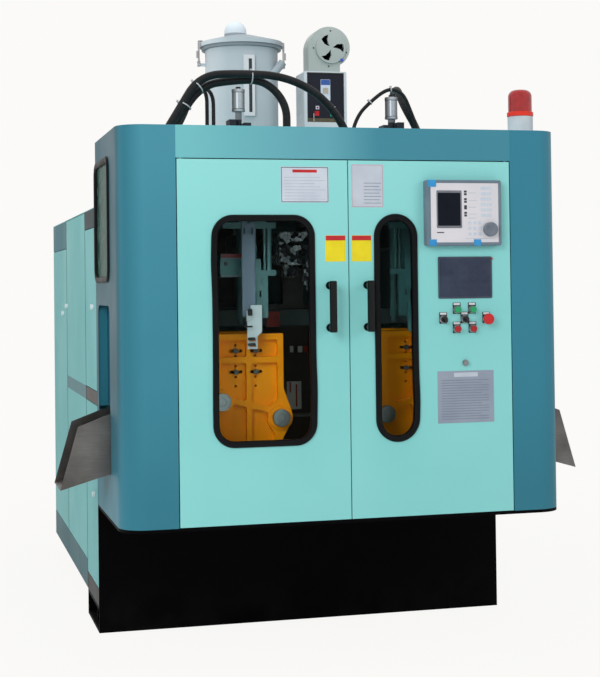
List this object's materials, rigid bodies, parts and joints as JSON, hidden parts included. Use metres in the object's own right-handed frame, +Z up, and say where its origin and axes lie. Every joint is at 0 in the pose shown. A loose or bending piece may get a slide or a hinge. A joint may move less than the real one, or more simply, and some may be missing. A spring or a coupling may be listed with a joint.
{
  "type": "blow moulding machine",
  "caption": "Extrusion blow moulding machine with two clamping stations behind glazed doors, side discharge chutes, rear cabinets, hopper dryer with blower, and signal beacon.",
  "frame": {"origin": "centre of the four anchor holes, on the floor", "axes": "+X to the right seen from the operator side, -Y towards the operator, +Z up"},
  "size_m": [2.1, 2.731, 2.712],
  "materials": {
    "base_black": "satin",
    "column_teal": "satin",
    "header_teal": "satin",
    "door_mint": "satin",
    "cabinet_mint": "satin",
    "gasket_rubber": "matte",
    "window_glass": "polished",
    "black_plastic": "matte",
    "control_grey": "matte",
    "knob_grey": "matte",
    "button_green": "gloss",
    "button_red": "gloss",
    "stop_red": "gloss",
    "stainless": "brushed",
    "platen_orange": "satin",
    "machined_steel": "machined",
    "slide_steel": "machined",
    "frame_teal": "satin",
    "drive_grey": "satin",
    "dryer_grey": "satin",
    "box_white": "satin",
    "blower_grey": "satin",
    "chrome_steel": "polished",
    "beacon_red": "gloss",
    "hose_rubber": "matte"
  },
  "bodies": {
    "machine": {"base_frame": "base_black", "enclosure_bed": "base_black", "corner_wall_left": "column_teal", "corner_wall_right": "column_teal", "side_windows": "window_glass", "enclosure_roof": "header_teal", "chute_left": "stainless", "chute_right": "stainless", "blow_frame_left": "frame_teal", "blow_frame_right": "frame_teal", "die_head": "machined_steel", "extruder_unit": "machined_steel", "cabinet_beams": "base_black", "cabinet_shell": "cabinet_mint", "cabinet_side_left": "cabinet_mint", "cabinet_side_right": "cabinet_mint", "hydraulic_unit": "drive_grey", "hopper_dryer": "dryer_grey", "dryer_control_box": "box_white", "blower_housing": "blower_grey", "beacon": "beacon_red", "hose_thick_front": "hose_rubber", "hose_thick_back": "hose_rubber", "hose_thin_outer": "hose_rubber", "hose_thin_inner": "hose_rubber", "hose_right_thin": "hose_rubber", "hose_right_thick": "hose_rubber"},
    "front_door_left": {"door_left": "door_mint", "door_left_window": "window_glass", "door_left_handle": "black_plastic"},
    "front_door_right": {"door_right": "door_mint", "door_right_window": "window_glass", "door_right_handle": "black_plastic", "operator_controls": "control_grey"},
    "carriage_left": {"clamp_carriage_left": "platen_orange"},
    "carriage_right": {"clamp_carriage_right": "platen_orange"},
    "platen_left": {"clamp_platen_left": "platen_orange", "tie_bars_left": "machined_steel"},
    "platen_right": {"clamp_platen_right": "platen_orange", "tie_bars_right": "machined_steel"},
    "operator_knob": {"operator_knob": "knob_grey"},
    "green_button_left": {"green_button_left": "button_green"},
    "green_button_right": {"green_button_right": "button_green"},
    "red_button_left": {"red_button_left": "button_red"},
    "red_button_right": {"red_button_right": "button_red"},
    "stop_button": {"stop_button": "stop_red"},
    "selector_left": {"selector_left": "black_plastic"},
    "selector_right": {"selector_right": "black_plastic"},
    "blow_slide_left": {"blow_slide_left": "slide_steel"},
    "blow_slide_right": {"blow_slide_right": "frame_teal"},
    "extruder_screw": {"extruder_screw": "machined_steel"},
    "side_door_middle_left": {"side_door_middle_left": "cabinet_mint"},
    "side_door_middle_right": {"side_door_middle_right": "cabinet_mint"},
    "side_door_rear_left": {"side_door_rear_left": "cabinet_mint"},
    "side_door_rear_right": {"side_door_rear_right": "cabinet_mint"},
    "lid_clamp_left": {"lid_clamp_left": "chrome_steel"},
    "lid_clamp_right": {"lid_clamp_right": "chrome_steel"},
    "rocker_red": {"rocker_red": "button_red"},
    "rocker_green": {"rocker_green": "button_green"},
    "blower_impeller": {"blower_impeller": "blower_grey"}
  },
  "joints": [
    {"name": "front_door_left_hinge", "type": "hinge", "parent": "machine", "child": "front_door_left", "pos_m": [-0.634, -1.659, 1.2], "axis": [0, 0, -1], "range_deg": [0, 100]},
    {"name": "front_door_right_hinge", "type": "hinge", "parent": "machine", "child": "front_door_right", "pos_m": [0.634, -1.659, 1.2], "axis": [0, 0, 1], "range_deg": [0, 100]},
    {"name": "green_button_left_push", "type": "slide", "parent": "front_door_right", "child": "green_button_left", "axis": [0, 1, 0], "range_m": [0, 0.004], "stiffness_N_per_m": 500, "springref_m": -0.004},
    {"name": "green_button_right_push", "type": "slide", "parent": "front_door_right", "child": "green_button_right", "axis": [0, 1, 0], "range_m": [0, 0.004], "stiffness_N_per_m": 500, "springref_m": -0.004},
    {"name": "red_button_left_push", "type": "slide", "parent": "front_door_right", "child": "red_button_left", "axis": [0, 1, 0], "range_m": [0, 0.004], "stiffness_N_per_m": 500, "springref_m": -0.004},
    {"name": "red_button_right_push", "type": "slide", "parent": "front_door_right", "child": "red_button_right", "axis": [0, 1, 0], "range_m": [0, 0.004], "stiffness_N_per_m": 500, "springref_m": -0.004},
    {"name": "stop_button_push", "type": "slide", "parent": "front_door_right", "child": "stop_button", "axis": [0, 1, 0], "range_m": [0, 0.005], "stiffness_N_per_m": 900, "springref_m": -0.006},
    {"name": "selector_left_turn", "type": "hinge", "parent": "front_door_right", "child": "selector_left", "pos_m": [0.371, -1.678, 1.261], "axis": [0, 1, 0], "range_deg": [-45, 45]},
    {"name": "selector_right_turn", "type": "hinge", "parent": "front_door_right", "child": "selector_right", "pos_m": [0.457, -1.678, 1.261], "axis": [0, 1, 0], "range_deg": [-45, 45]},
    {"name": "operator_knob_turn", "type": "hinge", "parent": "front_door_right", "child": "operator_knob", "pos_m": [0.552, -1.708, 1.602], "axis": [0, 1, 0], "continuous": true},
    {"name": "carriage_left_shift", "type": "slide", "parent": "machine", "child": "carriage_left", "axis": [1, 0, 0], "range_m": [0, 0.32]},
    {"name": "clamp_left_close", "type": "slide", "parent": "carriage_left", "child": "platen_left", "axis": [0, 1, 0], "range_m": [0, 0.06]},
    {"name": "blow_left_down", "type": "slide", "parent": "machine", "child": "blow_slide_left", "axis": [0, 0, -1], "range_m": [0, 0.1]},
    {"name": "carriage_right_shift", "type": "slide", "parent": "machine", "child": "carriage_right", "axis": [1, 0, 0], "range_m": [-0.32, 0]},
    {"name": "clamp_right_close", "type": "slide", "parent": "carriage_right", "child": "platen_right", "axis": [0, 1, 0], "range_m": [0, 0.06]},
    {"name": "blow_right_down", "type": "slide", "parent": "machine", "child": "blow_slide_right", "axis": [0, 0, -1], "range_m": [0, 0.1]},
    {"name": "extruder_screw_turn", "type": "hinge", "parent": "machine", "child": "extruder_screw", "pos_m": [0, 0.162, 1.545], "axis": [0, 1, 0], "continuous": true},
    {"name": "blower_impeller_turn", "type": "hinge", "parent": "machine", "child": "blower_impeller", "pos_m": [0.424, 0.082, 2.572], "axis": [0, 1, 0], "continuous": true},
    {"name": "rocker_red_tilt", "type": "hinge", "parent": "machine", "child": "rocker_red", "pos_m": [0.351, 0.045, 2.247], "axis": [1, 0, 0], "range_deg": [-6, 6]},
    {"name": "rocker_green_tilt", "type": "hinge", "parent": "machine", "child": "rocker_green", "pos_m": [0.43, 0.045, 2.245], "axis": [1, 0, 0], "range_deg": [-6, 6]},
    {"name": "lid_clamp_left_turn", "type": "hinge", "parent": "machine", "child": "lid_clamp_left", "pos_m": [-0.215, 0.162, 2.492], "axis": [0, -1, 0], "range_deg": [0, 95]},
    {"name": "side_door_middle_left_hinge", "type": "hinge", "parent": "machine", "child": "side_door_middle_left", "pos_m": [-0.854, -0.541, 1], "axis": [0, 0, 1], "range_deg": [0, 100]},
    {"name": "side_door_rear_left_hinge", "type": "hinge", "parent": "machine", "child": "side_door_rear_left", "pos_m": [-0.854, 0.946, 1], "axis": [0, 0, -1], "range_deg": [0, 100]},
    {"name": "lid_clamp_right_turn", "type": "hinge", "parent": "machine", "child": "lid_clamp_right", "pos_m": [0.215, 0.162, 2.492], "axis": [0, 1, 0], "range_deg": [0, 95]},
    {"name": "side_door_middle_right_hinge", "type": "hinge", "parent": "machine", "child": "side_door_middle_right", "pos_m": [0.854, -0.541, 1], "axis": [0, 0, -1], "range_deg": [0, 100]},
    {"name": "side_door_rear_right_hinge", "type": "hinge", "parent": "machine", "child": "side_door_rear_right", "pos_m": [0.854, 0.946, 1], "axis": [0, 0, 1], "range_deg": [0, 100]}
  ]
}
